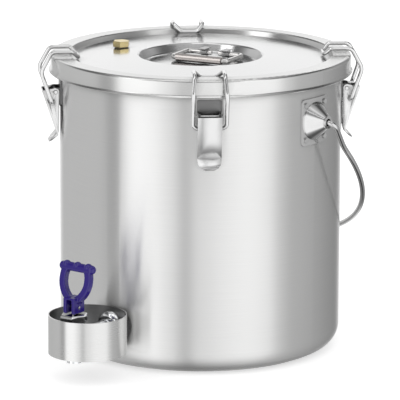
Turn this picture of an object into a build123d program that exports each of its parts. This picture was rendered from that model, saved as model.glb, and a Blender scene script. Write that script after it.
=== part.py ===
from build123d import *
from math import cos, radians, sin, sqrt
import os

os.makedirs("parts", exist_ok=True)

# An insulated drinks container with a latched lid, a swinging bail and a draw-off tap.
# Millimetres, +Z up. The origin is the centre of the base on the surface it stands on.
# Azimuth 0 is the tap's side (-Y) and azimuth 90 is +X.

# Vessel
body_radius = 175.0
shell_wall = 1.2
shell_corner = 26.0
shell_foot_inset = 29.0
body_height = 355.0
base_inset = 24.0
base_wall = 1.2
base_dish_inset = 38.0
base_dish_height = 7.0
base_dish_bend = 3.0
wall_gap = 25.0
vessel_wall = 1.2
vessel_corner = 14.0
vessel_floor = 24.0
collar_wall = 1.2
collar_bend = 2.0
collar_overhang = 8.0
collar_lip = 9.0
mouth_flange = 20.0

# Lid
lid_wall = 1.2
lid_height = 15.0
skirt_clearance = 2.3
skirt_depth = 21.5
skirt_flare = 2.5
rim_bend = 3.6
rim_width = 22.5
rim_slope = 3.5
panel_drop = 7.0
panel_crown = 4.0
lid_seam_inset = 1.5
well_floor_bend = 4.0
well_edge_bend = 2.5
panel_bend = 1.2
rim_inner_bend = 1.6
skirt_bend = 3.0
well_radius = 77.5
well_floor_radius = 71.0
well_depth = 11.0
gasket_height = 3.0
gasket_width = 12.0
gasket_inset = 6.0
plug_depth = 24.0
plug_clearance = 1.5
liner_corner = 8.0
liner_bend = 2.5
foam_gap = 0.3
foam_bevel = 8.0
foam_well_out = 2.0
foam_well_in = 5.0
foam_under_panel = 1.0

# Vent in the lid
vent_azimuth = 280.0
vent_distance = 112.0
vent_bush_radius = 7.5
vent_bush_stand = 0.6
vent_screw_radius = 4.7
vent_thread_clearance = 0.3
vent_hex_flats = 19.0
vent_hex_height = 7.0
vent_hex_chamfer = 0.8
vent_head_clearance = 0.1
vent_stem_hold = 4.0
vent_washer_radius = 8.8
vent_washer_height = 1.0
vent_nut_flats = 20.0
vent_nut_height = 5.0

# Handle in the lid's well
handle_turn = 11.0
handle_width = 76.0
handle_reach = 46.0
handle_setback = 42.0
handle_wire_radius = 3.0
handle_bend = 6.0
handle_end_length = 33.0
grip_length = 62.0
grip_radius = 4.8
grip_clearance = 0.2
grip_floor_gap = 0.5
clip_width = 9.0
clip_spread = 15.0
clip_wall = 0.8
clip_foot = 9.0
clip_rivet_radius = 1.6

# Over-centre latches
latch_turns = {"front": 40.7, "right": 131.3, "back": 222.8, "left": 313.6}
latch_pivot_out = 6.5
latch_pivot_down = 30.0
latch_plate_margin = 0.5
latch_plate_down = 11.0
latch_plate_tall = 37.0
latch_plate_wall = 1.5
latch_plate_corner = 3.0
latch_cheek_wall = 1.5
latch_cheek_radius = 4.6
cheek_foot = 1.0
latch_pin_radius = 2.0
latch_pin_head = 1.2
lever_width = 29.5
lever_wall = 1.5
lever_top_out = 23.5
lever_top_drop = -1.5
lever_bottom_out = 5.0
lever_bottom_drop = 53.5
lever_tab_out = 15.0
lever_tab_drop = 64.0
lever_side_gap = 0.5
lever_tab_corner = 0.3
lever_heel_in = 1.0
lever_heel_up = 3.0
lever_bore_gap = 0.1
loop_wire_radius = 2.5
loop_pivot_out = 11.0
loop_pivot_drop = 14.0
loop_side_gap = 3.25
loop_taper = 4.5
loop_hook_width = 20.0
loop_bow_out = 25.0
loop_hook_in = 11.0
loop_step_in = 3.0
loop_over_rim = 5.8
loop_hook_drop = 2.5
loop_pivot_bend = 6.5
loop_bow_bend = 14.0
loop_rim_bend = 9.0
loop_hook_bend = 5.0

# Ears and carrying bail
ear_down = 50.0
ear_plate_width = 52.0
ear_plate_tall = 57.0
ear_plate_wall = 1.5
ear_plate_corner = 5.0
ear_rivet_radius = 3.0
ear_rivet_inset = 7.0
ear_rivet_stand = 0.9
ear_rivet_root = 2.0
cone_base_radius = 23.5
cone_nose_radius = 8.0
cone_length = 17.0
cone_wall = 1.5
cone_collar = 2.0
cone_root = 3.0
cone_root_flare = 2.0
bail_radius = 3.3
bail_hole_clearance = 1.4
bail_turn = 30.0
bail_end = 6.0
bail_spread = 20.0
bail_arc_centre = 66.0
bail_leg = 48.0
bail_leg_bend = 80.0
bail_bend = 9.0
bail_body_gap = 0.4

# Tap and guard ring
tap_height = 55.5
ring_radius = 48.0
ring_wall = 1.4
ring_height = 48.0
guard_gasket_wall = 2.0
guard_gasket_radius = 24.0
guard_gasket_root = 4.0
shank_radius = 9.0
shank_bore = 5.5
shank_inside = 16.0
shank_in_barrel = 4.0
shank_clearance = 0.3
back_nut_flats = 30.0
back_nut_height = 7.0
inner_washer_wall = 2.0
inner_washer_radius = 15.0
dome_nut_radius = 19.0
dome_nut_height = 9.0
dome_nut_flat = 1.0
valve_out = 76.0
valve_radius = 13.0
valve_bore = 8.0
valve_top = 76.0
spout_radius = 9.0
spout_bottom = 24.5
barrel_wall = 1.0
bonnet_flats = 30.0
bonnet_height = 9.0
bonnet_chamfer = 1.2
stem_radius = 3.0
stem_clearance = 0.3
stem_head = 2.8
seal_radius = 6.5
seal_height = 5.0
seal_seat_height = 40.0
tap_pin_radius = 1.8
tap_pin_height = 93.5
tap_block_width = 17.0
tap_block_depth = 20.0
tap_block_bottom = 86.5
tap_block_top = 106.0
tap_slot_width = 8.0
tap_slot_wall = 5.5
tap_slot_roof = 2.5
tap_block_corner = 1.2
tap_pin_gap = 0.2
tap_loop_widest = 0.57
tap_loop_pull_in = 4.0
tap_loop_width = 46.5
tap_loop_bar = 8.4
tap_loop_lean = 11.0
tap_bar_height = 141.0
tap_bar_length = 54.0
tap_bar_radius = 5.6

# Heights and radii that follow from the sizes above
rim_top = body_height + lid_height
vessel_radius = body_radius - wall_gap
shell_foot_radius = body_radius - shell_foot_inset
base_radius = body_radius - base_inset
base_dish_radius = body_radius - base_dish_inset
skirt_radius = body_radius + collar_overhang + skirt_clearance + lid_wall
rim_inner = skirt_radius - rim_width
panel_radius = rim_inner - rim_slope
latch_pivot_radius = body_radius + latch_pivot_out
latch_pivot_height = body_height - latch_pivot_down
latch_plate_width = lever_width + latch_plate_margin
latch_plate_top = body_height - latch_plate_down
latch_plate_bottom = latch_plate_top - latch_plate_tall
lever_top_radius = body_radius + lever_top_out
lever_bottom_radius = body_radius + lever_bottom_out
lever_tab_radius = body_radius + lever_tab_out
loop_pivot_radius = body_radius + loop_pivot_out
loop_width = lever_width + 2 * (loop_wire_radius + loop_side_gap)
loop_top_width = loop_width - loop_taper
loop_bow_radius = body_radius + loop_bow_out
loop_hook_radius = rim_inner - loop_hook_in
ear_height = body_height - ear_down
bail_turn_out = body_radius + bail_turn
bail_inner_end = body_radius + bail_end
bail_arc_radius = body_radius + bail_spread
valve_distance = body_radius + valve_out
barrel_radius = shank_radius + barrel_wall
shell_mid = body_radius - shell_wall / 2
shell_inner = body_radius - shell_wall
vessel_mid = vessel_radius - vessel_wall / 2
vessel_inner = vessel_radius - vessel_wall
collar_mid = body_height - collar_wall / 2
flange_top = body_height + vessel_wall
seat_height = flange_top + gasket_height
plug_bottom = body_height - plug_depth
panel_edge = rim_top - panel_drop
panel_top = panel_edge + panel_crown
well_floor = panel_top - well_depth
skirt_bottom = rim_top - skirt_depth
plate_outer = body_radius + latch_plate_wall
loop_pivot_height = latch_pivot_height - loop_pivot_drop
ring_distance = body_radius + guard_gasket_wall + ring_radius
ring_bottom = tap_height - ring_height / 2
ring_top = tap_height + ring_height / 2
ring_back = ring_distance - ring_radius


def outward(azimuth):
    """Unit vector away from the axis of the vessel."""
    return Vector(sin(radians(azimuth)), -cos(radians(azimuth)), 0)


def rightward(azimuth):
    """Unit vector to the right of someone who looks at the vessel from this azimuth."""
    return Vector(cos(radians(azimuth)), sin(radians(azimuth)), 0)


def side_plane(azimuth, shift=0.0):
    """Upright plane: its x is the distance from the axis and its y is the height."""
    return Plane(rightward(azimuth) * shift, x_dir=outward(azimuth), z_dir=-rightward(azimuth))


def loop_point(azimuth, across, radius, height):
    """Point of a latch's wire loop: across from its middle, out from the axis and up."""
    return rightward(azimuth) * across + outward(azimuth) * radius + Vector(0, 0, height)


def face_plane(azimuth, distance, height):
    """Plane that faces outward: its x runs to the right and its y runs up."""
    origin = outward(azimuth) * distance + Vector(0, 0, height)
    return Plane(origin, x_dir=rightward(azimuth), z_dir=outward(azimuth))


def spun_sheet(points, bends, wall):
    """Sheet spun about Z. Its middle line is given as radius and height at each corner."""
    with BuildPart() as piece:
        with BuildSketch(Plane.XZ):
            with BuildLine():
                FilletPolyline(*points, radius=bends)
            trace(line_width=wall)
        revolve(axis=Axis.Z)
    return piece.part


# ---- Vessel ----

shell_floor = base_wall + shell_wall / 2
with BuildPart() as outer_shell:
    add(
        spun_sheet(
            [
                (shell_foot_radius, shell_floor),
                (shell_mid, shell_floor),
                (shell_mid, body_height - collar_wall),
            ],
            [shell_corner - shell_wall / 2],
            shell_wall,
        )
    )
    with BuildSketch(face_plane(0, 0, tap_height)):
        Circle(shank_radius + shank_clearance)
    extrude(amount=body_radius + shell_wall, mode=Mode.SUBTRACT)
outer_shell.part.label = "outer_shell"
export_step(outer_shell.part, "parts/outer_shell.step")

with BuildPart() as base_disc:
    add(
        spun_sheet(
            [
                (0, base_dish_height),
                (base_dish_radius, base_dish_height),
                (base_dish_radius + base_dish_height, base_wall / 2),
                (base_radius, base_wall / 2),
            ],
            [base_dish_bend, base_dish_bend],
            base_wall,
        )
    )
base_disc.part.label = "base_disc"
export_step(base_disc.part, "parts/base_disc.step")

mouth_edge = vessel_radius + mouth_flange
with BuildPart() as inner_vessel:
    add(
        spun_sheet(
            [
                (0, vessel_floor + vessel_wall / 2),
                (vessel_mid, vessel_floor + vessel_wall / 2),
                (vessel_mid, body_height + vessel_wall / 2),
                (mouth_edge, body_height + vessel_wall / 2),
            ],
            [vessel_corner, collar_bend + (vessel_wall + collar_wall) / 2],
            vessel_wall,
        )
    )
    with BuildSketch(face_plane(0, 0, tap_height)):
        Circle(shank_radius + shank_clearance)
    extrude(amount=vessel_radius + vessel_wall, mode=Mode.SUBTRACT)
inner_vessel.part.label = "inner_vessel"
export_step(inner_vessel.part, "parts/inner_vessel.step")

collar_outer = body_radius + collar_overhang
with BuildPart() as top_collar:
    add(
        spun_sheet(
            [
                (vessel_radius + collar_wall / 2, body_height - collar_lip),
                (vessel_radius + collar_wall / 2, collar_mid),
                (collar_outer - collar_wall / 2, collar_mid),
                (collar_outer - collar_wall / 2, body_height - collar_lip),
            ],
            [collar_bend, collar_bend],
            collar_wall,
        )
    )
top_collar.part.label = "top_collar"
export_step(top_collar.part, "parts/top_collar.step")

foam_bottom = base_wall + shell_wall
foam_top = body_height - collar_lip
with BuildPart() as insulation:
    with BuildSketch(Plane.XZ) as foam_outline:
        with BuildLine():
            FilletPolyline(
                (0, foam_bottom), (shell_inner, foam_bottom), (shell_inner, foam_top),
                radius=shell_corner - shell_wall,
            )
            Polyline((shell_inner, foam_top), (0, foam_top), (0, foam_bottom))
        make_face()
        with BuildLine():
            FilletPolyline(
                (0, vessel_floor), (vessel_radius, vessel_floor), (vessel_radius, body_height),
                radius=vessel_corner + vessel_wall / 2,
            )
            Polyline((vessel_radius, body_height), (0, body_height), (0, vessel_floor))
        make_face(mode=Mode.SUBTRACT)
        Rectangle(
            2 * body_radius, 2 * (base_dish_height + base_wall / 2), mode=Mode.SUBTRACT
        )
    revolve(axis=Axis.Z)
    with BuildSketch(face_plane(0, 0, tap_height)):
        Circle(shank_radius + shank_clearance)
    extrude(amount=body_radius, mode=Mode.SUBTRACT)
insulation.part.label = "insulation"
export_step(insulation.part, "parts/insulation.step")

# ---- Lid ----

skirt_mid = skirt_radius - lid_wall / 2
rim_mid = rim_top - lid_wall / 2
vent_point = outward(vent_azimuth) * vent_distance
lid_seam = panel_radius - lid_seam_inset
lid_sheet = spun_sheet(
    [
        (0, well_floor - lid_wall / 2),
        (well_floor_radius, well_floor - lid_wall / 2),
        (well_radius, panel_top - lid_wall / 2),
        (panel_radius, panel_edge - lid_wall / 2),
        (rim_inner, rim_mid),
        (skirt_mid, rim_mid),
        (skirt_mid, skirt_bottom + skirt_flare),
        (skirt_mid + skirt_flare, skirt_bottom),
    ],
    [well_floor_bend, well_edge_bend, panel_bend, rim_inner_bend, rim_bend, skirt_bend],
    lid_wall,
)
with BuildPart() as lid_panel:
    add(lid_sheet)
    with BuildSketch(Plane.XY.offset(skirt_bottom)):
        Circle(lid_seam)
    extrude(amount=2 * skirt_depth, mode=Mode.INTERSECT)
    with Locations(vent_point + Vector(0, 0, rim_top)):
        Hole(vent_bush_radius, depth=2 * panel_drop)
lid_panel.part.label = "lid_panel"
export_step(lid_panel.part, "parts/lid_panel.step")

with BuildPart() as lid_rim:
    add(lid_sheet)
    with BuildSketch(Plane.XY.offset(skirt_bottom)):
        Circle(lid_seam)
    extrude(amount=2 * skirt_depth, mode=Mode.SUBTRACT)
lid_rim.part.label = "lid_rim"
export_step(lid_rim.part, "parts/lid_rim.step")

plug_mid = vessel_inner - plug_clearance - lid_wall / 2
with BuildPart() as lid_liner:
    add(
        spun_sheet(
            [
                (0, plug_bottom + lid_wall / 2),
                (plug_mid, plug_bottom + lid_wall / 2),
                (plug_mid, seat_height + lid_wall / 2),
                (skirt_radius - lid_wall, seat_height + lid_wall / 2),
            ],
            [liner_corner, liner_bend],
            lid_wall,
        )
    )
    with Locations(vent_point + Vector(0, 0, plug_bottom + plug_depth)):
        Hole(vent_bush_radius, depth=plug_depth + lid_wall)
lid_liner.part.label = "lid_liner"
export_step(lid_liner.part, "parts/lid_liner.step")

with BuildPart() as lid_gasket:
    with BuildSketch(Plane.XZ):
        with Locations((vessel_radius + gasket_inset + gasket_width / 2, flange_top + gasket_height / 2)):
            RectangleRounded(gasket_width, gasket_height, gasket_height / 4)
    revolve(axis=Axis.Z)
lid_gasket.part.label = "lid_gasket"
export_step(lid_gasket.part, "parts/lid_gasket.step")

lid_foam_bottom = plug_bottom + lid_wall + foam_gap
lid_foam_radius = plug_mid - lid_wall / 2 - foam_gap
lid_foam_well = well_floor - lid_wall - foam_gap
lid_foam_edge = panel_edge - lid_wall - foam_gap
with BuildPart() as lid_insulation:
    with BuildSketch(Plane.XZ):
        with BuildLine():
            Polyline(
                (0, lid_foam_bottom),
                (lid_foam_radius - foam_bevel, lid_foam_bottom),
                (lid_foam_radius, lid_foam_bottom + foam_bevel),
                (lid_foam_radius, lid_foam_edge),
                (well_radius + foam_well_out, panel_top - lid_wall - foam_under_panel),
                (well_floor_radius + foam_well_in, lid_foam_well),
                (0, lid_foam_well),
                close=True,
            )
        make_face()
    revolve(axis=Axis.Z)
    with Locations(vent_point + Vector(0, 0, rim_top)):
        Hole(vent_bush_radius)
lid_insulation.part.label = "lid_insulation"
export_step(lid_insulation.part, "parts/lid_insulation.step")

# ---- Vent ----

panel_slope = panel_crown / (panel_radius - well_radius)
vent_panel = panel_edge + (panel_radius - vent_distance) * panel_slope
bush_top = vent_panel + vent_bush_stand
bush_length = bush_top - plug_bottom + vent_nut_height
with BuildPart() as vent_bush:
    with BuildSketch(Plane.XY.offset(bush_top)):
        with Locations(vent_point):
            Circle(vent_bush_radius)
            Circle(vent_screw_radius + vent_thread_clearance, mode=Mode.SUBTRACT)
    extrude(amount=-bush_length)
vent_bush.part.label = "vent_bush"
export_step(vent_bush.part, "parts/vent_bush.step")

with BuildPart() as vent_nut:
    with BuildSketch(Plane.XY.offset(plug_bottom)):
        with Locations(vent_point):
            RegularPolygon(vent_nut_flats / 2, 6, major_radius=False)
            Circle(vent_bush_radius, mode=Mode.SUBTRACT)
    extrude(amount=-vent_nut_height)
vent_nut.part.label = "vent_nut"
export_step(vent_nut.part, "parts/vent_nut.step")

with BuildPart() as vent_washer:
    with BuildSketch(Plane.XY.offset(bush_top)):
        with Locations(vent_point):
            Circle(vent_washer_radius)
            Circle(vent_screw_radius + vent_thread_clearance, mode=Mode.SUBTRACT)
    extrude(amount=vent_washer_height)
vent_washer.part.label = "vent_washer"
export_step(vent_washer.part, "parts/vent_washer.step")

screw_base = bush_top + vent_washer_height
with BuildPart() as vent_stem:
    with BuildSketch(Plane.XY.offset(screw_base + vent_stem_hold)):
        with Locations(vent_point):
            Circle(vent_screw_radius)
    extrude(amount=-(bush_length - vent_nut_height + vent_stem_hold))
vent_stem.part.label = "vent_stem"
export_step(vent_stem.part, "parts/vent_stem.step")

with BuildPart() as vent_screw:
    with BuildSketch(Plane.XY.offset(screw_base)):
        with Locations(vent_point):
            RegularPolygon(vent_hex_flats / 2, 6, major_radius=False)
    extrude(amount=vent_hex_height)
    chamfer(vent_screw.faces().sort_by(Axis.Z)[-1].edges(), vent_hex_chamfer)
    with BuildSketch(Plane.XY.offset(screw_base)):
        with Locations(vent_point):
            Circle(vent_screw_radius + vent_head_clearance)
    extrude(amount=vent_stem_hold + vent_head_clearance, mode=Mode.SUBTRACT)
vent_screw.part.label = "vent_screw"
export_step(vent_screw.part, "parts/vent_screw.step")

# ---- Folding handle in the well ----

handle_height = well_floor + grip_radius + grip_floor_gap
handle_along = Vector(cos(radians(handle_turn)), sin(radians(handle_turn)), 0)
handle_away = Vector(-sin(radians(handle_turn)), cos(radians(handle_turn)), 0)
hinge_origin = handle_away * handle_setback + Vector(0, 0, handle_height)
handle_plane = Plane(hinge_origin, x_dir=handle_along, z_dir=(0, 0, 1))
half_width = handle_width / 2
wire_end = half_width - handle_end_length
with BuildPart() as lid_handle_wire:
    with BuildLine(handle_plane):
        FilletPolyline(
            (-wire_end, 0),
            (-half_width, 0),
            (-half_width, -handle_reach),
            (half_width, -handle_reach),
            (half_width, 0),
            (wire_end, 0),
            radius=handle_bend,
        )
    with BuildSketch(Plane(handle_plane.from_local_coords(Vector(-wire_end, 0, 0)), z_dir=-handle_along)):
        Circle(handle_wire_radius)
    sweep()
lid_handle_wire.part.label = "lid_handle_wire"
export_step(lid_handle_wire.part, "parts/lid_handle_wire.step")

grip_start = handle_plane.from_local_coords(Vector(-grip_length / 2, -handle_reach, 0))
with BuildPart() as lid_handle_grip:
    with BuildSketch(Plane(grip_start, z_dir=handle_along)):
        Circle(grip_radius)
        Circle(handle_wire_radius + grip_clearance, mode=Mode.SUBTRACT)
    extrude(amount=grip_length)
lid_handle_grip.part.label = "lid_handle_grip"
export_step(lid_handle_grip.part, "parts/lid_handle_grip.step")

barrel_inner = handle_wire_radius + grip_clearance
clip_side = Plane(hinge_origin, x_dir=handle_away, z_dir=-handle_along)
clip_floor = well_floor - handle_height
with BuildPart() as lid_handle_clips:
    for side in (-1, 1):
        with BuildSketch(clip_side.offset(side * clip_spread - clip_width / 2)):
            with Locations((0, clip_floor + clip_wall / 2)):
                Rectangle(2 * clip_foot, clip_wall)
            with Locations((0, clip_floor / 2)):
                Rectangle(2 * barrel_inner, -clip_floor)
            Circle(barrel_inner + clip_wall)
            Circle(barrel_inner, mode=Mode.SUBTRACT)
        extrude(amount=clip_width)
lid_handle_clips.part.label = "lid_handle_clips"
export_step(lid_handle_clips.part, "parts/lid_handle_clips.step")

clip_foot_plane = handle_plane.offset(clip_floor + clip_wall)
rivet_away = (clip_foot + barrel_inner + clip_wall) / 2
with BuildPart() as lid_handle_rivets:
    with BuildSketch(clip_foot_plane):
        with GridLocations(2 * clip_spread, 2 * rivet_away, 2, 2):
            Circle(clip_rivet_radius)
    extrude(amount=clip_rivet_radius / 2)
lid_handle_rivets.part.label = "lid_handle_rivets"
export_step(lid_handle_rivets.part, "parts/lid_handle_rivets.step")

# ---- Latches ----

cheek_outer = lever_width / 2 - lever_wall - lever_side_gap
cheek_drop = loop_pivot_drop - loop_wire_radius - lever_side_gap
lever_top = latch_pivot_height - lever_top_drop
lever_bottom = latch_pivot_height - lever_bottom_drop
lever_tab = latch_pivot_height - lever_tab_drop
loop_top = rim_top + loop_over_rim
for name, azimuth in latch_turns.items():
    plate_centre = (latch_plate_top + latch_plate_bottom) / 2

    with BuildPart() as latch_plate:
        with BuildSketch(face_plane(azimuth, 0, plate_centre)):
            RectangleRounded(latch_plate_width, latch_plate_tall, latch_plate_corner)
        extrude(amount=body_radius + 2 * latch_plate_wall)
        with BuildSketch(Plane.XZ):
            with Locations((body_radius + latch_plate_wall / 2, plate_centre)):
                Rectangle(latch_plate_wall, latch_plate_tall)
        revolve(axis=Axis.Z, mode=Mode.INTERSECT)
        for side in (-1, 1):
            near_face = side * cheek_outer - (latch_cheek_wall if side > 0 else 0)
            with BuildSketch(side_plane(azimuth, near_face + latch_cheek_wall)):
                with BuildLine():
                    Polyline(
                        (body_radius + latch_plate_wall / 2, latch_pivot_height + latch_cheek_radius),
                        (body_radius + latch_plate_wall / 2, latch_pivot_height - cheek_drop),
                        (plate_outer + cheek_foot, latch_pivot_height - cheek_drop),
                        (latch_pivot_radius + latch_cheek_radius, latch_pivot_height),
                        (latch_pivot_radius, latch_pivot_height + latch_cheek_radius),
                        close=True,
                    )
                make_face()
                with Locations((latch_pivot_radius, latch_pivot_height)):
                    Circle(latch_cheek_radius)
                    Circle(latch_pin_radius, mode=Mode.SUBTRACT)
            extrude(amount=latch_cheek_wall)
    latch_plate.part.label = f"latch_plate_{name}"
    export_step(latch_plate.part, f"parts/latch_plate_{name}.step")

    pin_reach = lever_width / 2 + latch_pin_head
    with BuildPart() as latch_pin:
        with BuildSketch(side_plane(azimuth, -pin_reach)):
            with Locations((latch_pivot_radius, latch_pivot_height)):
                Circle(latch_pin_radius)
        extrude(amount=-2 * pin_reach)
    latch_pin.part.label = f"latch_pin_{name}"
    export_step(latch_pin.part, f"parts/latch_pin_{name}.step")

    lever_back = latch_pivot_radius - latch_cheek_radius
    with BuildPart() as latch_lever:
        with BuildSketch(side_plane(azimuth, lever_width / 2)):
            with BuildLine():
                Polyline(
                    (latch_pivot_radius, latch_pivot_height + latch_cheek_radius),
                    (lever_top_radius, lever_top),
                    (lever_bottom_radius, lever_bottom),
                    (lever_back + lever_heel_in, lever_bottom + lever_heel_up),
                    (lever_back, latch_pivot_height),
                    close=True,
                )
            make_face()
            with Locations((latch_pivot_radius, latch_pivot_height)):
                Circle(latch_cheek_radius)
        extrude(amount=lever_width)
        with BuildSketch(side_plane(azimuth, lever_width / 2 - lever_wall)):
            with BuildLine():
                Polyline(
                    (lever_back - lever_wall, lever_top + latch_cheek_radius),
                    (lever_top_radius - lever_wall, lever_top + latch_cheek_radius),
                    (lever_top_radius - lever_wall, lever_top),
                    (lever_bottom_radius - lever_wall, lever_bottom),
                    (lever_back - lever_wall, lever_bottom),
                    close=True,
                )
            make_face()
        extrude(amount=lever_width - 2 * lever_wall, mode=Mode.SUBTRACT)
        with BuildSketch(side_plane(azimuth, lever_width / 2)):
            with BuildLine():
                Polyline(
                    (lever_bottom_radius, lever_bottom + lever_wall),
                    (lever_bottom_radius - lever_wall, lever_bottom + lever_wall),
                    (lever_bottom_radius - lever_wall, lever_bottom - lever_wall / 2),
                    (lever_tab_radius - lever_wall / 2, lever_tab - lever_wall / 2),
                    (lever_tab_radius, lever_tab + lever_wall / 2),
                    close=True,
                )
            make_face()
        extrude(amount=lever_width)
        with BuildSketch(side_plane(azimuth, lever_width)):
            with Locations((latch_pivot_radius, latch_pivot_height)):
                Circle(latch_pin_radius + lever_bore_gap)
            with Locations((loop_pivot_radius, loop_pivot_height)):
                Circle(loop_wire_radius + lever_bore_gap)
        extrude(amount=2 * lever_width, mode=Mode.SUBTRACT)
        tab_tall = lever_bottom - lever_tab
        with BuildSketch(face_plane(azimuth, body_radius, lever_bottom)):
            with Locations((0, -tab_tall)):
                Rectangle(2 * lever_width, 2 * tab_tall)
            Ellipse(lever_width / 2 + lever_tab_corner, tab_tall + lever_wall, mode=Mode.SUBTRACT)
        extrude(amount=lever_top_radius - body_radius, mode=Mode.SUBTRACT)
    latch_lever.part.label = f"latch_lever_{name}"
    export_step(latch_lever.part, f"parts/latch_lever_{name}.step")

    half_loop = loop_width / 2
    half_top = loop_top_width / 2
    half_hook = loop_hook_width / 2
    loop_end = lever_width / 2 - lever_wall
    shoulder = skirt_bottom + loop_wire_radius
    loop_right = [
        loop_point(azimuth, half_loop, loop_bow_radius, shoulder),
        loop_point(azimuth, half_top, skirt_radius, loop_top),
        loop_point(azimuth, half_top, rim_inner - loop_step_in, loop_top),
        loop_point(azimuth, half_hook, loop_hook_radius, rim_top - loop_hook_drop),
    ]
    loop_left = [
        loop_point(azimuth, -half_hook, loop_hook_radius, rim_top - loop_hook_drop),
        loop_point(azimuth, -half_top, rim_inner - loop_step_in, loop_top),
        loop_point(azimuth, -half_top, skirt_radius, loop_top),
        loop_point(azimuth, -half_loop, loop_bow_radius, shoulder),
    ]
    loop_bends = [loop_pivot_bend, loop_bow_bend, loop_rim_bend, loop_hook_bend, loop_hook_bend]
    with BuildPart() as latch_loop:
        with BuildLine():
            FilletPolyline(
                loop_point(azimuth, loop_end, loop_pivot_radius, loop_pivot_height),
                loop_point(azimuth, half_loop, loop_pivot_radius, loop_pivot_height),
                *loop_right,
                *loop_left,
                loop_point(azimuth, -half_loop, loop_pivot_radius, loop_pivot_height),
                loop_point(azimuth, -loop_end, loop_pivot_radius, loop_pivot_height),
                radius=loop_bends + loop_bends[::-1],
            )
        start = loop_point(azimuth, loop_end, loop_pivot_radius, loop_pivot_height)
        with BuildSketch(Plane(start, z_dir=rightward(azimuth))):
            Circle(loop_wire_radius)
        sweep()
    latch_loop.part.label = f"latch_loop_{name}"
    export_step(latch_loop.part, f"parts/latch_loop_{name}.step")

# ---- Ears ----

ear_face = body_radius + ear_plate_wall
nose = ear_face + cone_length
for name, azimuth in (("right", 90), ("left", 270)):
    with BuildPart() as ear_plate:
        with BuildSketch(face_plane(azimuth, 0, ear_height)):
            RectangleRounded(ear_plate_width, ear_plate_tall, ear_plate_corner)
        extrude(amount=body_radius + 2 * ear_plate_wall)
        with BuildSketch(Plane.XZ):
            with Locations((body_radius + ear_plate_wall / 2, ear_height)):
                Rectangle(ear_plate_wall, ear_plate_tall)
        revolve(axis=Axis.Z, mode=Mode.INTERSECT)
    ear_plate.part.label = f"ear_plate_{name}"
    export_step(ear_plate.part, f"parts/ear_plate_{name}.step")

    with BuildPart() as ear_cone:
        with BuildSketch(side_plane(azimuth)):
            with BuildLine():
                Polyline(
                    (ear_face - cone_root, ear_height + cone_base_radius + cone_root_flare),
                    (ear_face, ear_height + cone_base_radius),
                    (nose, ear_height + cone_nose_radius),
                    (nose + cone_collar, ear_height + cone_nose_radius),
                    (nose + cone_collar, ear_height + bail_radius + bail_hole_clearance),
                    (nose - cone_wall, ear_height + bail_radius + bail_hole_clearance),
                    (nose - cone_wall, ear_height + cone_nose_radius - cone_wall),
                    (ear_face - cone_root, ear_height + cone_base_radius - cone_wall),
                    close=True,
                )
            make_face()
        revolve(axis=Axis((0, 0, ear_height), outward(azimuth)))
        with BuildSketch(Plane.XY.offset(ear_height - 2 * cone_base_radius)):
            Circle(ear_face)
        extrude(amount=4 * cone_base_radius, mode=Mode.SUBTRACT)
    ear_cone.part.label = f"ear_cone_{name}"
    export_step(ear_cone.part, f"parts/ear_cone_{name}.step")

with BuildPart() as ear_rivets:
    for azimuth in (90, 270):
        with BuildSketch(face_plane(azimuth, ear_face - ear_rivet_root, ear_height)):
            with GridLocations(
                ear_plate_width - 2 * ear_rivet_inset, ear_plate_tall - 2 * ear_rivet_inset, 2, 2
            ):
                Circle(ear_rivet_radius)
        extrude(amount=ear_rivet_root + ear_rivet_stand)
    with BuildSketch(Plane.XY.offset(ear_height - ear_plate_tall)):
        Circle(ear_face)
    extrude(amount=2 * ear_plate_tall, mode=Mode.SUBTRACT)
ear_rivets.part.label = "ear_rivets"
export_step(ear_rivets.part, "parts/ear_rivets.step")

# ---- Carrying bail, at rest against the back of the body ----

bail_reach = bail_arc_radius + bail_arc_centre
bail_rest_y = (body_radius + bail_radius + bail_body_gap) / bail_reach
bail_rest_z = sqrt(1 - bail_rest_y**2)
bail_plane = Plane((0, 0, ear_height), x_dir=(1, 0, 0), z_dir=(0, bail_rest_z, bail_rest_y))
with BuildPart() as carry_bail:
    with BuildLine(bail_plane):
        FilletPolyline(
            (bail_inner_end, 0),
            (bail_turn_out, 0),
            (bail_arc_radius, bail_leg),
            (bail_arc_radius, bail_arc_centre),
            radius=[bail_bend, bail_leg_bend],
        )
        ThreePointArc(
            (bail_arc_radius, bail_arc_centre), (0, bail_reach), (-bail_arc_radius, bail_arc_centre)
        )
        FilletPolyline(
            (-bail_arc_radius, bail_arc_centre),
            (-bail_arc_radius, bail_leg),
            (-bail_turn_out, 0),
            (-bail_inner_end, 0),
            radius=[bail_leg_bend, bail_bend],
        )
    with BuildSketch(Plane((bail_inner_end, 0, ear_height), z_dir=(1, 0, 0))):
        Circle(bail_radius)
    sweep()
carry_bail.part.label = "carry_bail"
export_step(carry_bail.part, "parts/carry_bail.step")

# ---- Guard ring and tap ----

with BuildPart() as guard_ring:
    with BuildSketch(Plane.XY.offset(ring_bottom)):
        with Locations((0, -ring_distance)):
            Circle(ring_radius)
            Circle(ring_radius - ring_wall, mode=Mode.SUBTRACT)
    extrude(amount=ring_height)
    with BuildSketch(face_plane(0, 0, tap_height)):
        Circle(shank_radius + shank_clearance)
    extrude(amount=ring_distance, mode=Mode.SUBTRACT)
guard_ring.part.label = "guard_ring"
export_step(guard_ring.part, "parts/guard_ring.step")

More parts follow.
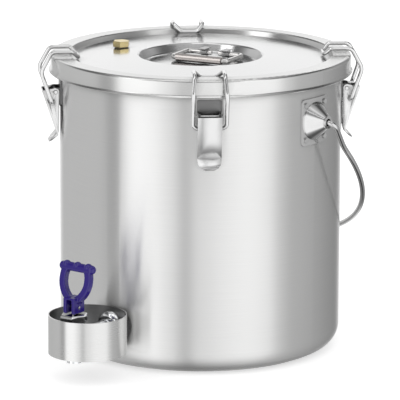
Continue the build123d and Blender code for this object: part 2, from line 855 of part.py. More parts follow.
with BuildPart() as guard_gasket:
    with BuildSketch(face_plane(0, body_radius - guard_gasket_root, tap_height)):
        Circle(guard_gasket_radius)
        Circle(shank_radius + shank_clearance, mode=Mode.SUBTRACT)
    extrude(amount=guard_gasket_radius)
    with BuildSketch(Plane.XY.offset(tap_height - ring_height)):
        Circle(body_radius)
        with Locations((0, -ring_distance)):
            Circle(ring_radius)
    extrude(amount=2 * ring_height, mode=Mode.SUBTRACT)
guard_gasket.part.label = "guard_gasket"
export_step(guard_gasket.part, "parts/guard_gasket.step")

shank_start = vessel_inner - shank_inside
with BuildPart() as tap_shank:
    with BuildSketch(face_plane(0, shank_start, tap_height)):
        Circle(shank_radius)
        Circle(shank_bore, mode=Mode.SUBTRACT)
    extrude(amount=ring_back + ring_wall + dome_nut_height + shank_in_barrel - shank_start)
tap_shank.part.label = "tap_shank"
export_step(tap_shank.part, "parts/tap_shank.step")

vessel_chord = sqrt(vessel_inner**2 - inner_washer_radius**2)
with BuildPart() as tap_inner_washer:
    with BuildSketch(face_plane(0, vessel_chord - inner_washer_wall, tap_height)):
        Circle(inner_washer_radius)
        Circle(shank_radius + shank_clearance, mode=Mode.SUBTRACT)
    extrude(amount=inner_washer_wall)
tap_inner_washer.part.label = "tap_inner_washer"
export_step(tap_inner_washer.part, "parts/tap_inner_washer.step")

with BuildPart() as tap_back_nut:
    with BuildSketch(face_plane(0, vessel_chord - inner_washer_wall, tap_height)):
        RegularPolygon(back_nut_flats / 2, 6, major_radius=False)
        Circle(shank_radius, mode=Mode.SUBTRACT)
    extrude(amount=-back_nut_height)
tap_back_nut.part.label = "tap_back_nut"
export_step(tap_back_nut.part, "parts/tap_back_nut.step")

dome_base = ring_back + ring_wall
dome_hidden = dome_base - ring_back + 2 * ring_wall
with BuildPart() as tap_dome_nut:
    with BuildSketch(face_plane(0, dome_base - dome_hidden, tap_height)):
        Circle(dome_nut_radius)
    extrude(amount=dome_hidden + dome_nut_height)
    fillet(tap_dome_nut.faces().sort_by(Axis.Y)[0].edges(), dome_nut_height - dome_nut_flat)
    with BuildSketch(face_plane(0, dome_base - dome_hidden, tap_height)):
        Circle(shank_radius)
    extrude(amount=dome_hidden + dome_nut_height, mode=Mode.SUBTRACT)
    with BuildSketch(Plane.XY.offset(tap_height - ring_height)):
        with Locations((0, -ring_distance)):
            Circle(2 * ring_radius)
            Circle(ring_radius - ring_wall, mode=Mode.SUBTRACT)
    extrude(amount=2 * ring_height, mode=Mode.SUBTRACT)
tap_dome_nut.part.label = "tap_dome_nut"
export_step(tap_dome_nut.part, "parts/tap_dome_nut.step")

barrel_start = dome_base + dome_nut_height
with BuildPart() as tap_body:
    with BuildSketch(Plane.XY.offset(spout_bottom)):
        with Locations((0, -valve_distance)):
            Circle(spout_radius)
    extrude(amount=seal_seat_height - spout_bottom)
    with BuildSketch(Plane.XY.offset(seal_seat_height)):
        with Locations((0, -valve_distance)):
            Circle(valve_radius)
    extrude(amount=valve_top - seal_seat_height)
    with BuildSketch(face_plane(0, barrel_start, tap_height)):
        Circle(barrel_radius)
    extrude(amount=valve_distance - barrel_start)
    with BuildSketch(Plane.XY.offset(seal_seat_height)):
        with Locations((0, -valve_distance)):
            Circle(valve_bore)
    extrude(amount=valve_top - seal_seat_height, mode=Mode.SUBTRACT)
    with BuildSketch(Plane.XY.offset(spout_bottom)):
        with Locations((0, -valve_distance)):
            Circle(shank_bore)
    extrude(amount=valve_top - spout_bottom, mode=Mode.SUBTRACT)
    with BuildSketch(face_plane(0, barrel_start, tap_height)):
        Circle(shank_radius)
    extrude(amount=shank_in_barrel, mode=Mode.SUBTRACT)
    with BuildSketch(face_plane(0, barrel_start, tap_height)):
        Circle(shank_bore)
    extrude(amount=valve_distance - barrel_start, mode=Mode.SUBTRACT)
tap_body.part.label = "tap_body"
export_step(tap_body.part, "parts/tap_body.step")

with BuildPart() as tap_bonnet:
    with BuildSketch(Plane.XY.offset(valve_top)):
        with Locations((0, -valve_distance)):
            RegularPolygon(bonnet_flats / 2, 6, major_radius=False)
    extrude(amount=bonnet_height)
    chamfer(tap_bonnet.faces().sort_by(Axis.Z)[-1].edges(), bonnet_chamfer)
    with BuildSketch(Plane.XY.offset(valve_top)):
        with Locations((0, -valve_distance)):
            Circle(stem_radius + stem_clearance)
    extrude(amount=bonnet_height, mode=Mode.SUBTRACT)
tap_bonnet.part.label = "tap_bonnet"
export_step(tap_bonnet.part, "parts/tap_bonnet.step")

with BuildPart() as tap_stem:
    with BuildSketch(Plane.XY.offset(seal_seat_height + seal_height)):
        with Locations((0, -valve_distance)):
            Circle(stem_radius)
    extrude(amount=tap_pin_height + stem_head - seal_seat_height - seal_height)
    with BuildSketch(side_plane(0, tap_block_width)):
        with Locations((valve_distance, tap_pin_height)):
            Circle(tap_pin_radius + tap_pin_gap)
    extrude(amount=2 * tap_block_width, mode=Mode.SUBTRACT)
tap_stem.part.label = "tap_stem"
export_step(tap_stem.part, "parts/tap_stem.step")

with BuildPart() as tap_seal:
    with BuildSketch(Plane.XY.offset(seal_seat_height)):
        with Locations((0, -valve_distance)):
            Circle(seal_radius)
    extrude(amount=seal_height)
tap_seal.part.label = "tap_seal"
export_step(tap_seal.part, "parts/tap_seal.step")

with BuildPart() as tap_pin:
    with BuildSketch(side_plane(0, tap_block_width / 2)):
        with Locations((valve_distance, tap_pin_height)):
            Circle(tap_pin_radius)
    extrude(amount=tap_block_width)
tap_pin.part.label = "tap_pin"
export_step(tap_pin.part, "parts/tap_pin.step")

loop_bottom = tap_block_top - tap_loop_bar / 2
loop_rise = (tap_bar_height - loop_bottom) / cos(radians(tap_loop_lean))
loop_middle = tap_loop_widest * loop_rise
loop_half = tap_loop_width / 2 - tap_loop_bar / 2
loop_up = Vector(0, sin(radians(tap_loop_lean)), cos(radians(tap_loop_lean)))
loop_root = outward(0) * valve_distance + Vector(0, 0, loop_bottom)
loop_plane = Plane(loop_root, x_dir=rightward(0), z_dir=rightward(0).cross(loop_up))
bar_straight = tap_bar_length - 2 * tap_bar_radius
bar_start = loop_root + loop_up * loop_rise - rightward(0) * bar_straight / 2
block_back = valve_distance - tap_block_depth / 2
block_middle = (tap_block_top + tap_block_bottom) / 2
with BuildPart() as tap_handle:
    with BuildSketch(face_plane(0, block_back, block_middle)):
        RectangleRounded(tap_block_width, tap_block_top - tap_block_bottom, tap_block_corner)
    extrude(amount=tap_block_depth)
    with BuildSketch(face_plane(0, block_back + tap_slot_wall, block_middle - tap_slot_roof)):
        Rectangle(tap_slot_width, tap_block_top - tap_block_bottom)
    extrude(amount=tap_block_depth, mode=Mode.SUBTRACT)
    with BuildSketch(side_plane(0, tap_block_width)):
        with Locations((valve_distance, tap_pin_height)):
            Circle(tap_pin_radius)
    extrude(amount=2 * tap_block_width, mode=Mode.SUBTRACT)
    with BuildSketch(loop_plane.offset(-tap_loop_bar / 2)):
        with BuildLine():
            ThreePointArc(
                (-tap_block_width / 2 + tap_loop_bar / 2, 0),
                (-loop_half, loop_middle),
                (-loop_half + tap_loop_pull_in, loop_rise),
            )
        trace(line_width=tap_loop_bar)
        mirror(about=Plane.YZ)
    extrude(amount=tap_loop_bar)
    with BuildSketch(Plane(bar_start, z_dir=rightward(0))):
        Circle(tap_bar_radius)
    extrude(amount=bar_straight)
    with Locations(bar_start, bar_start + rightward(0) * bar_straight):
        Sphere(tap_bar_radius)
tap_handle.part.label = "tap_handle"
export_step(tap_handle.part, "parts/tap_handle.step")
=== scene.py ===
import math

import bpy
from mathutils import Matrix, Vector


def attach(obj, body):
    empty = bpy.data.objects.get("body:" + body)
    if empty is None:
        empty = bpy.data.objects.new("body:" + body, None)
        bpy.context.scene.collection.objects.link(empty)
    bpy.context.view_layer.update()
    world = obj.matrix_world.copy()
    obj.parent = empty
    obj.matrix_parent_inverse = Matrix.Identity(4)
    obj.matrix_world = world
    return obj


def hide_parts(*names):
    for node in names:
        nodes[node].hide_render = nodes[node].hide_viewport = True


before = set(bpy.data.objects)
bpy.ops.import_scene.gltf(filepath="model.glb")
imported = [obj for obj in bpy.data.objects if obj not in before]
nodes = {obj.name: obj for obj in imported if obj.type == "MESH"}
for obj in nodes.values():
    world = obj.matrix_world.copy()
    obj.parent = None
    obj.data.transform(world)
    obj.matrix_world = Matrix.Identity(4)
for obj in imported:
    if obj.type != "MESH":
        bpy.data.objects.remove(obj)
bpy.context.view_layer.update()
bpy.ops.object.select_all(action="DESELECT")

# ---- Studio: camera, floor and soft light ----
# The container stands on a pale seamless floor in a white studio. A long lens looks slightly down on
# it from between the tap and the right-hand ear. The light is soft, with grey flats at both sides.
camera_azimuth = math.radians(37.2)
camera_distance = 4.8094
camera_height = 1.2747
camera_aim_height = 0.1810
camera_roll = 0.004
camera_data = bpy.data.cameras.new("studio_camera")
camera_data.lens = 354.5
camera_data.sensor_width = 36.0
camera_data.clip_end = 50.0
camera = bpy.data.objects.new("studio_camera", camera_data)
bpy.context.scene.collection.objects.link(camera)
camera.location = (
    camera_distance * math.sin(camera_azimuth),
    -camera_distance * math.cos(camera_azimuth),
    camera_height,
)
look = Vector((0, 0, camera_aim_height)) - camera.location
camera.rotation_mode = "QUATERNION"
camera.rotation_quaternion = look.to_track_quat("-Z", "Y")
camera.rotation_mode = "XYZ"
camera.rotation_euler.rotate_axis("Z", camera_roll)
bpy.context.scene.camera = camera
bpy.context.scene.view_settings.view_transform = "Standard"

floor_size = 24.0
bpy.ops.mesh.primitive_grid_add(x_subdivisions=12, y_subdivisions=12, size=floor_size, location=(0, 0, 0))
floor = bpy.context.object
floor.name = "studio_floor"
floor.visible_glossy = False
floor_paint = bpy.data.materials.new("floor_paint")
floor_paint.use_nodes = True
paint = floor_paint.node_tree.nodes["Principled BSDF"]
paint.inputs["Base Color"].default_value = (0.62, 0.62, 0.62, 1)
paint.inputs["Roughness"].default_value = 0.8
paint.inputs["Specular IOR Level"].default_value = 0.1
paint.inputs["Emission Color"].default_value = (1, 1, 1, 1)
paint.inputs["Emission Strength"].default_value = 0.55
floor.data.materials.append(floor_paint)

world = bpy.data.worlds.new("studio")
bpy.context.scene.world = world
world.use_nodes = True
wt = world.node_tree
backdrop = wt.nodes["Background"]
direction = wt.nodes.new("ShaderNodeTexCoord")
parts = wt.nodes.new("ShaderNodeSeparateXYZ")
wt.links.new(direction.outputs["Generated"], parts.inputs[0])
toward_front = wt.nodes.new("ShaderNodeMath")
toward_front.operation = "MULTIPLY"
toward_front.inputs[1].default_value = -1
wt.links.new(parts.outputs["Y"], toward_front.inputs[0])
turn = wt.nodes.new("ShaderNodeMath")
turn.operation = "ARCTAN2"
wt.links.new(parts.outputs["X"], turn.inputs[0])
wt.links.new(toward_front.outputs[0], turn.inputs[1])
share = wt.nodes.new("ShaderNodeMath")
share.operation = "MULTIPLY_ADD"
share.inputs[1].default_value = 0.5 / math.pi
share.inputs[2].default_value = 0.5
wt.links.new(turn.outputs[0], share.inputs[0])
# soft boxes and grey flats around the object, by share of a turn that starts behind it
flats = wt.nodes.new("ShaderNodeValToRGB")
studio_turn = [
    (0.00, 0.26), (0.035, 0.34), (0.065, 1.00), (0.145, 1.05), (0.18, 0.52), (0.21, 0.60), (0.36, 0.65),
    (0.385, 0.44), (0.405, 0.44), (0.43, 1.32), (0.49, 1.32), (0.535, 1.06), (0.570, 0.66), (0.600, 1.02),
    (0.68, 1.20), (0.765, 1.20), (0.80, 0.78), (0.83, 0.58), (1.00, 0.34),
]
# from the floor to the ceiling: a dark gap between the walls and the overhead light
studio_rise = [
    (0.00, 0.10), (0.04, 0.20), (0.10, 0.94), (0.50, 1.00), (0.70, 1.00), (0.79, 0.20), (0.86, 0.20),
    (0.93, 0.95), (1.00, 1.10),
]
rise = wt.nodes.new("ShaderNodeValToRGB")
for levels, ramp_node in ((studio_turn, flats), (studio_rise, rise)):
    ramp = ramp_node.color_ramp
    ramp.interpolation = "EASE"
    while len(ramp.elements) < len(levels):
        ramp.elements.new(0.5)
    for element, (place, level) in zip(ramp.elements, levels):
        element.position = place
        element.color = (level, level, level, 1)
wt.links.new(share.outputs[0], flats.inputs[0])
height_share = wt.nodes.new("ShaderNodeMath")
height_share.operation = "MULTIPLY_ADD"
height_share.inputs[1].default_value = 0.5
height_share.inputs[2].default_value = 0.5
wt.links.new(parts.outputs["Z"], height_share.inputs[0])
wt.links.new(height_share.outputs[0], rise.inputs[0])
walls = wt.nodes.new("ShaderNodeMix")
walls.data_type = "RGBA"
walls.blend_type = "MULTIPLY"
walls.inputs[0].default_value = 1.0
wt.links.new(flats.outputs[0], walls.inputs[6])
wt.links.new(rise.outputs[0], walls.inputs[7])
# metal mirrors the flats; the floor and other matt things only get an even white light
rays = wt.nodes.new("ShaderNodeLightPath")
seen = wt.nodes.new("ShaderNodeMix")
seen.data_type = "RGBA"
seen.inputs[6].default_value = (1.0, 1.0, 1.0, 1)
wt.links.new(rays.outputs["Is Glossy Ray"], seen.inputs[0])
wt.links.new(walls.outputs[2], seen.inputs[7])
wt.links.new(seen.outputs[2], backdrop.inputs["Color"])
backdrop.inputs["Strength"].default_value = 1.0

# each soft box: where it hangs, the side of its square and its power in watts
soft_boxes = {
    "key_soft_box": ((-1.6, -3.2, 3.4), 1.6, 14),
    "fill_soft_box": ((3.6, -0.6, 2.8), 1.4, 6),
    "back_soft_box": ((-1.2, 3.4, 3.2), 1.6, 8),
}
for name, (place, side, power) in soft_boxes.items():
    light = bpy.data.lights.new(name, "AREA")
    light.size = side
    light.energy = power
    box = bpy.data.objects.new(name, light)
    bpy.context.scene.collection.objects.link(box)
    box.location = place
    box.rotation_euler = (Vector((0, 0, 0.2)) - box.location).to_track_quat("-Z", "Y").to_euler()

# ---- Vessel ----
# A rolled stainless jacket with a spun bottom corner, a deep inner vessel and a collar that joins them.
# The sheet is brushed around its girth, so the grain runs level; the two walls hold foam between them.


def wire(tree, out, into):
    """Joins two sockets."""
    tree.links.new(out, into)


def add_node(tree, kind, **settings):
    """Adds a shader node and sets its properties."""
    node = tree.nodes.new(kind)
    for key, value in settings.items():
        setattr(node, key, value)
    return node


def math_node(tree, operation, first, second=None, third=None):
    """Adds a Math node fed by sockets or numbers, and returns its output."""
    node = add_node(tree, "ShaderNodeMath", operation=operation)
    for place, value in enumerate((first, second, third)):
        if value is None:
            continue
        if isinstance(value, (int, float)):
            node.inputs[place].default_value = value
        else:
            wire(tree, value, node.inputs[place])
    return node.outputs[0]


def paint_recess_shade(tree, colour_out, reach, depth):
    """Paints shade into a colour where other surfaces stand close: an ambient-occlusion term darkens
    recesses, gaps and contacts.
    """
    nearby = add_node(tree, "ShaderNodeAmbientOcclusion", samples=12)
    nearby.inputs["Distance"].default_value = reach
    level = add_node(tree, "ShaderNodeMapRange")
    level.inputs["To Min"].default_value = 1.0 - depth
    wire(tree, nearby.outputs["AO"], level.inputs["Value"])
    shaded = add_node(tree, "ShaderNodeMix", data_type="RGBA", blend_type="MULTIPLY")
    shaded.inputs[0].default_value = 1.0
    wire(tree, colour_out, shaded.inputs[6])
    wire(tree, level.outputs[0], shaded.inputs[7])
    return shaded.outputs[2]


def sheet_metal(name, colour, roughness, grain, across, along, centre=(0, 0, 0), bump=0.12,
                anisotropy=0.7, worn=0.08, reach=0.012, depth=0.6):
    """Brushed metal. grain is around, radial, up or straight; across and along are lines per metre."""
    material = bpy.data.materials.new(name)
    material.use_nodes = True
    tree = material.node_tree
    shader = tree.nodes["Principled BSDF"]
    shader.inputs["Metallic"].default_value = 1.0
    shader.inputs["Anisotropic"].default_value = anisotropy
    shader.inputs["Anisotropic Rotation"].default_value = 0.25
    coords = add_node(tree, "ShaderNodeTexCoord")
    moved = add_node(tree, "ShaderNodeMapping")
    moved.inputs["Location"].default_value = [-c for c in centre]
    wire(tree, coords.outputs["Object"], moved.inputs["Vector"])
    split = add_node(tree, "ShaderNodeSeparateXYZ")
    wire(tree, moved.outputs[0], split.inputs[0])
    lines = add_node(tree, "ShaderNodeCombineXYZ")
    x, y, z = split.outputs
    if grain in ("around", "radial"):
        angle = math_node(tree, "ARCTAN2", x, y)
        radius = math_node(tree, "SQRT", math_node(tree, "ADD", math_node(tree, "MULTIPLY", x, x),
                                                   math_node(tree, "MULTIPLY", y, y)))
        wire(tree, math_node(tree, "MULTIPLY", angle, along * 0.17), lines.inputs[0])
        wire(tree, math_node(tree, "MULTIPLY", z, across), lines.inputs[1])
        wire(tree, math_node(tree, "MULTIPLY", radius, across), lines.inputs[2])
    elif grain == "up":
        wire(tree, math_node(tree, "MULTIPLY", x, across), lines.inputs[0])
        wire(tree, math_node(tree, "MULTIPLY", y, across), lines.inputs[1])
        wire(tree, math_node(tree, "MULTIPLY", z, along), lines.inputs[2])
    else:
        wire(tree, math_node(tree, "MULTIPLY", x, along), lines.inputs[0])
        wire(tree, math_node(tree, "MULTIPLY", y, across), lines.inputs[1])
        wire(tree, math_node(tree, "MULTIPLY", z, across), lines.inputs[2])
    fine = add_node(tree, "ShaderNodeTexNoise")
    fine.inputs["Scale"].default_value = 1.0
    fine.inputs["Detail"].default_value = 3.0
    wire(tree, lines.outputs[0], fine.inputs["Vector"])
    patches = add_node(tree, "ShaderNodeTexNoise")
    patches.inputs["Scale"].default_value = 9.0
    patches.inputs["Detail"].default_value = 2.0
    wire(tree, moved.outputs[0], patches.inputs["Vector"])
    shade = add_node(tree, "ShaderNodeMapRange")
    shade.inputs["To Min"].default_value = 1.0 - worn
    shade.inputs["To Max"].default_value = 1.0 + worn / 2
    wire(tree, fine.outputs[0], shade.inputs["Value"])
    tint = add_node(tree, "ShaderNodeMix", data_type="RGBA", blend_type="MULTIPLY")
    tint.inputs[0].default_value = 1.0
    tint.inputs[6].default_value = (*colour, 1)
    wire(tree, shade.outputs[0], tint.inputs[7])
    # painted shade: the base colour is darkened where other surfaces stand close
    wire(tree, paint_recess_shade(tree, tint.outputs[2], reach, depth), shader.inputs["Base Color"])
    rough = add_node(tree, "ShaderNodeMapRange")
    rough.inputs["To Min"].default_value = roughness * 0.85
    rough.inputs["To Max"].default_value = roughness * 1.2
    both = math_node(tree, "ADD", math_node(tree, "MULTIPLY", fine.outputs[0], 0.5),
                     math_node(tree, "MULTIPLY", patches.outputs[0], 0.5))
    wire(tree, both, rough.inputs["Value"])
    wire(tree, rough.outputs[0], shader.inputs["Roughness"])
    relief = add_node(tree, "ShaderNodeBump")
    relief.inputs["Strength"].default_value = bump
    relief.inputs["Distance"].default_value = 0.0001
    wire(tree, fine.outputs[0], relief.inputs["Height"])
    wire(tree, relief.outputs[0], shader.inputs["Normal"])
    if grain == "around":
        flow = add_node(tree, "ShaderNodeTangent", direction_type="RADIAL", axis="Z")
        wire(tree, flow.outputs[0], shader.inputs["Tangent"])
    return material


def dress(node_names, material):
    """Gives CAD nodes their material."""
    for node_name in node_names:
        mesh = nodes[node_name].data
        mesh.materials.clear()
        mesh.materials.append(material)


jacket_steel = sheet_metal("jacket_steel", (0.83, 0.83, 0.825), 0.33, "around", 2600, 14, anisotropy=0.97)
dress(["outer_shell"], jacket_steel)
vessel_steel = sheet_metal("vessel_steel", (0.70, 0.70, 0.69), 0.34, "around", 1800, 10)
dress(["inner_vessel", "base_disc", "top_collar"], vessel_steel)

# the jacket's weld runs up the middle of its back as a flat bead
seam_place = (0, 0.1748, 0.187)
seam_half_width = 0.0011
seam_length = 0.318
seam_flatness = 0.45
bpy.ops.mesh.primitive_cylinder_add(
    vertices=10, radius=seam_half_width, depth=seam_length, location=seam_place
)
shell_seam = bpy.context.object
shell_seam.name = "shell_seam"
bpy.ops.object.mode_set(mode="EDIT")
bpy.ops.mesh.select_all(action="SELECT")
bpy.ops.transform.resize(value=(1.0, seam_flatness, 1.0), center_override=seam_place)
bpy.ops.object.mode_set(mode="OBJECT")
bpy.ops.object.transform_apply(location=True, rotation=True, scale=True)
bpy.ops.object.shade_smooth()
seam_steel = sheet_metal("seam_steel", (0.62, 0.61, 0.60), 0.42, "up", 900, 700, bump=0.3, anisotropy=0.2)
shell_seam.data.materials.append(seam_steel)
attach(shell_seam, "container")

# ---- Foam ----
# Rigid foam fills the gap between the walls and the hollow of the lid. It is cast in place and
# shows a fine cell pattern where it is cut. None of it is seen once the container is closed.


def soft_matter(name, colour, roughness, cell, depth, shade=0.12):
    """Rubber, foam or other matt stuff with a fine uneven surface."""
    material = bpy.data.materials.new(name)
    material.use_nodes = True
    tree = material.node_tree
    shader = tree.nodes["Principled BSDF"]
    shader.inputs["Roughness"].default_value = roughness
    coords = add_node(tree, "ShaderNodeTexCoord")
    cells = add_node(tree, "ShaderNodeTexNoise")
    cells.inputs["Scale"].default_value = cell
    cells.inputs["Detail"].default_value = 4.0
    wire(tree, coords.outputs["Object"], cells.inputs["Vector"])
    level = add_node(tree, "ShaderNodeMapRange")
    level.inputs["To Min"].default_value = 1.0 - shade
    level.inputs["To Max"].default_value = 1.0 + shade
    wire(tree, cells.outputs[0], level.inputs["Value"])
    tint = add_node(tree, "ShaderNodeMix", data_type="RGBA", blend_type="MULTIPLY")
    tint.inputs[0].default_value = 1.0
    tint.inputs[6].default_value = (*colour, 1)
    wire(tree, level.outputs[0], tint.inputs[7])
    wire(tree, tint.outputs[2], shader.inputs["Base Color"])
    relief = add_node(tree, "ShaderNodeBump")
    relief.inputs["Strength"].default_value = depth
    relief.inputs["Distance"].default_value = 0.0002
    wire(tree, cells.outputs[0], relief.inputs["Height"])
    wire(tree, relief.outputs[0], shader.inputs["Normal"])
    return material


foam = soft_matter("cast_foam", (0.80, 0.74, 0.56), 0.9, 900, 0.5)
dress(["insulation", "lid_insulation"], foam)

# ---- Lid ----
# A pressed satin panel with a round well, welded inside a rolled rim that ends in a flared skirt.
# The panel is fine-brushed on a turntable; the rim and skirt are brushed around their girth.
panel_steel = sheet_metal("lid_panel_steel", (0.80, 0.80, 0.80), 0.17, "radial", 2400, 10, bump=0.05,
                          anisotropy=0.3, worn=0.04)
dress(["lid_panel"], panel_steel)
rim_steel = sheet_metal("lid_rim_steel", (0.76, 0.76, 0.755), 0.22, "around", 2600, 14, bump=0.08,
                        anisotropy=0.5, worn=0.06)
dress(["lid_rim"], rim_steel)
liner_steel = sheet_metal("lid_liner_steel", (0.70, 0.70, 0.69), 0.3, "around", 1800, 10)
dress(["lid_liner"], liner_steel)
seal_rubber = soft_matter("seal_rubber", (0.035, 0.035, 0.037), 0.55, 1400, 0.2)
dress(["lid_gasket"], seal_rubber)

# ---- Vent ----
# A brass screw with a hexagon head closes the vent. Its bush passes through the lid and is held by a
# nut underneath. The brass is turned and milled, a little dull, and paler where it has been handled.


def cast_metal(name, colour, roughness, grain=1800.0, bump=0.08, blotch=0.10, spots=60.0, reach=0.008,
               depth=0.8):
    """Turned, bent or polished metal with faint marks and uneven shine."""
    material = bpy.data.materials.new(name)
    material.use_nodes = True
    tree = material.node_tree
    shader = tree.nodes["Principled BSDF"]
    shader.inputs["Metallic"].default_value = 1.0
    coords = add_node(tree, "ShaderNodeTexCoord")
    marks = add_node(tree, "ShaderNodeTexNoise")
    marks.inputs["Scale"].default_value = grain
    marks.inputs["Detail"].default_value = 3.0
    wire(tree, coords.outputs["Object"], marks.inputs["Vector"])
    haze = add_node(tree, "ShaderNodeTexNoise")
    haze.inputs["Scale"].default_value = spots
    haze.inputs["Detail"].default_value = 3.0
    wire(tree, coords.outputs["Object"], haze.inputs["Vector"])
    level = add_node(tree, "ShaderNodeMapRange")
    level.inputs["To Min"].default_value = 1.0 - blotch
    level.inputs["To Max"].default_value = 1.0 + blotch / 2
    wire(tree, haze.outputs[0], level.inputs["Value"])
    tint = add_node(tree, "ShaderNodeMix", data_type="RGBA", blend_type="MULTIPLY")
    tint.inputs[0].default_value = 1.0
    tint.inputs[6].default_value = (*colour, 1)
    wire(tree, level.outputs[0], tint.inputs[7])
    # painted shade: the base colour is darkened where other surfaces stand close
    wire(tree, paint_recess_shade(tree, tint.outputs[2], reach, depth), shader.inputs["Base Color"])
    rough = add_node(tree, "ShaderNodeMapRange")
    rough.inputs["To Min"].default_value = roughness * 0.7
    rough.inputs["To Max"].default_value = roughness * 1.4
    wire(tree, haze.outputs[0], rough.inputs["Value"])
    wire(tree, rough.outputs[0], shader.inputs["Roughness"])
    relief = add_node(tree, "ShaderNodeBump")
    relief.inputs["Strength"].default_value = bump
    relief.inputs["Distance"].default_value = 0.00005
    wire(tree, marks.outputs[0], relief.inputs["Height"])
    wire(tree, relief.outputs[0], shader.inputs["Normal"])
    return material


vent_brass = cast_metal("vent_brass", (0.80, 0.66, 0.34), 0.22, blotch=0.14)
dress(["vent_bush", "vent_nut", "vent_screw", "vent_stem"], vent_brass)
dress(["vent_washer"], seal_rubber)

# ---- Folding handle in the lid's well ----
# A bent stainless wire lies flat in the well and turns in two strips spot-welded to the floor.
# A loose polished tube on the wire is the grip.
handle_steel = cast_metal("handle_steel", (0.78, 0.77, 0.76), 0.14)
dress(["lid_handle_wire"], handle_steel)
clip_steel = cast_metal("clip_steel", (0.50, 0.50, 0.50), 0.30)
dress(["lid_handle_clips", "lid_handle_rivets"], clip_steel)
grip_steel = cast_metal("grip_steel", (0.58, 0.54, 0.52), 0.16, spots=90.0)
dress(["lid_handle_grip"], grip_steel)

# ---- Latches ----
# Four over-centre latches pull the lid down. Each has a dull pressed plate with two cheeks, a bright
# channel-shaped lever on a pin, and a wire loop that hooks over the rim. All are stainless steel; the
# plate's dark colour is painted shade.
latch_names = ("front", "right", "back", "left")
latch_steel = cast_metal("latch_steel", (0.80, 0.80, 0.80), 0.2)
loop_steel = cast_metal("loop_steel", (0.84, 0.84, 0.84), 0.07)
# painted shade: the plate's colour is dark, and its painted shade reaches far and goes to black towards
# the lever
plate_steel_painted_shade = cast_metal("plate_steel_painted_shade", (0.38, 0.38, 0.38), 0.30, reach=0.035, depth=1.0)
for latch in latch_names:
    dress([f"latch_lever_{latch}", f"latch_pin_{latch}"], latch_steel)
    dress([f"latch_plate_{latch}"], plate_steel_painted_shade)
    dress([f"latch_loop_{latch}"], loop_steel)


def select_only(piece):
    """Selects one object and makes it active."""
    bpy.ops.object.select_all(action="DESELECT")
    piece.select_set(True)
    bpy.context.view_layer.objects.active = piece


merge_reach = 0.00002
sharp_angle = math.radians(38)


def own_copy(node_name, piece_name):
    """A new piece with a copy of a CAD node's mesh, its doubled corners merged."""
    mesh = nodes[node_name].data.copy()
    piece = bpy.data.objects.new(piece_name, mesh)
    bpy.context.scene.collection.objects.link(piece)
    select_only(piece)
    bpy.ops.object.mode_set(mode="EDIT")
    bpy.ops.mesh.select_all(action="SELECT")
    bpy.ops.mesh.remove_doubles(threshold=merge_reach)
    bpy.ops.mesh.normals_make_consistent(inside=False)
    bpy.ops.object.mode_set(mode="OBJECT")
    return piece


def rounded_copy(node_name, piece_name, body, material, width):
    """Stands in for a CAD node with the same shape, its sharp edges broken as on pressed metal."""
    piece = own_copy(node_name, piece_name)
    bevel = piece.modifiers.new("edge_break", "BEVEL")
    bevel.width = width
    bevel.segments = 2
    bevel.limit_method = "ANGLE"
    bevel.angle_limit = sharp_angle
    bevel.harden_normals = True
    bpy.ops.object.modifier_apply(modifier="edge_break")
    bpy.ops.object.shade_smooth_by_angle(angle=sharp_angle)
    piece.data.materials.clear()
    piece.data.materials.append(material)
    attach(piece, body)
    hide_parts(node_name)


lever_edge = 0.0005
for latch in latch_names:
    rounded_copy(
        f"latch_lever_{latch}", f"lever_pressing_{latch}", f"lever_{latch}",
        latch_steel, lever_edge,
    )

# ---- Ears and carrying bail ----
# A riveted plate with a pressed cone on each side holds the ends of a bent polished bar.
ear_steel = cast_metal("ear_steel", (0.80, 0.80, 0.80), 0.13)
dress(["ear_plate_left", "ear_plate_right", "ear_cone_left", "ear_cone_right", "ear_rivets"], ear_steel)
bail_steel = cast_metal("bail_steel", (0.66, 0.66, 0.66), 0.09)
dress(["carry_bail"], bail_steel)

# ---- Guard ring and tap ----
# A brushed ring bolted through its back guards a chromed push-fit tap with a plastic pull handle.
ring_centre = (0, -0.225, 0)
ring_steel = sheet_metal("ring_steel", (0.74, 0.74, 0.735), 0.26, "around", 2600, 14, centre=ring_centre)
dress(["guard_ring"], ring_steel)
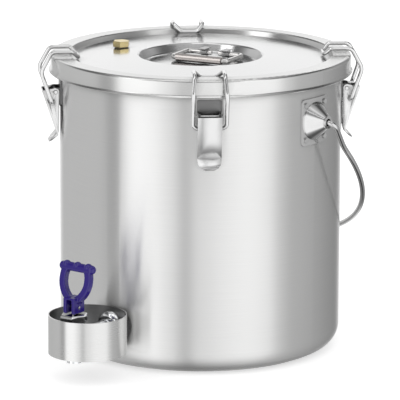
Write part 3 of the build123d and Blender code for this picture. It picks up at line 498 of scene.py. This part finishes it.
# the inside of the ring keeps the dull mill finish of the sheet, and its colour is painted dark as
# painted shade inside the ring
ring_inner_mill_and_shade_steel = sheet_metal(
    "ring_inner_mill_and_shade_steel", (0.24, 0.24, 0.24), 0.34, "around", 2200, 14, centre=ring_centre
)
ring_mesh = nodes["guard_ring"].data
ring_mesh.materials.append(ring_inner_mill_and_shade_steel)
ring_inner_reach = 0.0469
for face in ring_mesh.polygons:
    from_middle = Vector((face.center.x - ring_centre[0], face.center.y - ring_centre[1]))
    if from_middle.length < ring_inner_reach:
        face.material_index = 1
# the guard gasket is black rubber, and it also stands in as painted shade for the dark gap between the
# ring and the jacket
dress(["guard_gasket", "tap_inner_washer", "tap_seal"], seal_rubber)
tap_chrome = cast_metal("tap_chrome", (0.86, 0.87, 0.88), 0.05, bump=0.02, blotch=0.04)
dress(["tap_dome_nut", "tap_body", "tap_bonnet"], tap_chrome)
dress(["tap_shank", "tap_back_nut", "tap_stem", "tap_pin"], handle_steel)
violet_plastic = soft_matter("violet_plastic", (0.020, 0.009, 0.16), 0.13, 2200, 0.04, shade=0.05)
# the handle is one moulding, so its loop, bar, block and three finger bumps run into each other
handle_moulding = own_copy("tap_handle", "handle_moulding")
bar_y = -0.2434
bar_z = 0.1410
finger_bump_radius = 0.0056
finger_bump_spacing = 0.0165
finger_bump_rise = 0.0016
handle_skin_cell = 0.0006
finger_bumps = []
for step in (-1, 0, 1):
    bpy.ops.mesh.primitive_uv_sphere_add(
        segments=32, ring_count=16, radius=finger_bump_radius,
        location=(step * finger_bump_spacing, bar_y, bar_z + finger_bump_rise),
    )
    finger_bumps.append(bpy.context.object)
bpy.ops.object.select_all(action="DESELECT")
for piece in finger_bumps:
    piece.select_set(True)
handle_moulding.select_set(True)
bpy.context.view_layer.objects.active = handle_moulding
bpy.ops.object.join()
remesh = handle_moulding.modifiers.new("one_skin", "REMESH")
remesh.mode = "VOXEL"
remesh.voxel_size = handle_skin_cell
bpy.ops.object.modifier_apply(modifier="one_skin")
flow = handle_moulding.modifiers.new("moulded", "SMOOTH")
flow.factor = 0.5
flow.iterations = 8
bpy.ops.object.modifier_apply(modifier="moulded")
bpy.ops.object.shade_smooth()
handle_moulding.data.materials.clear()
handle_moulding.data.materials.append(violet_plastic)
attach(handle_moulding, "tap_handle")
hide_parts("tap_handle")
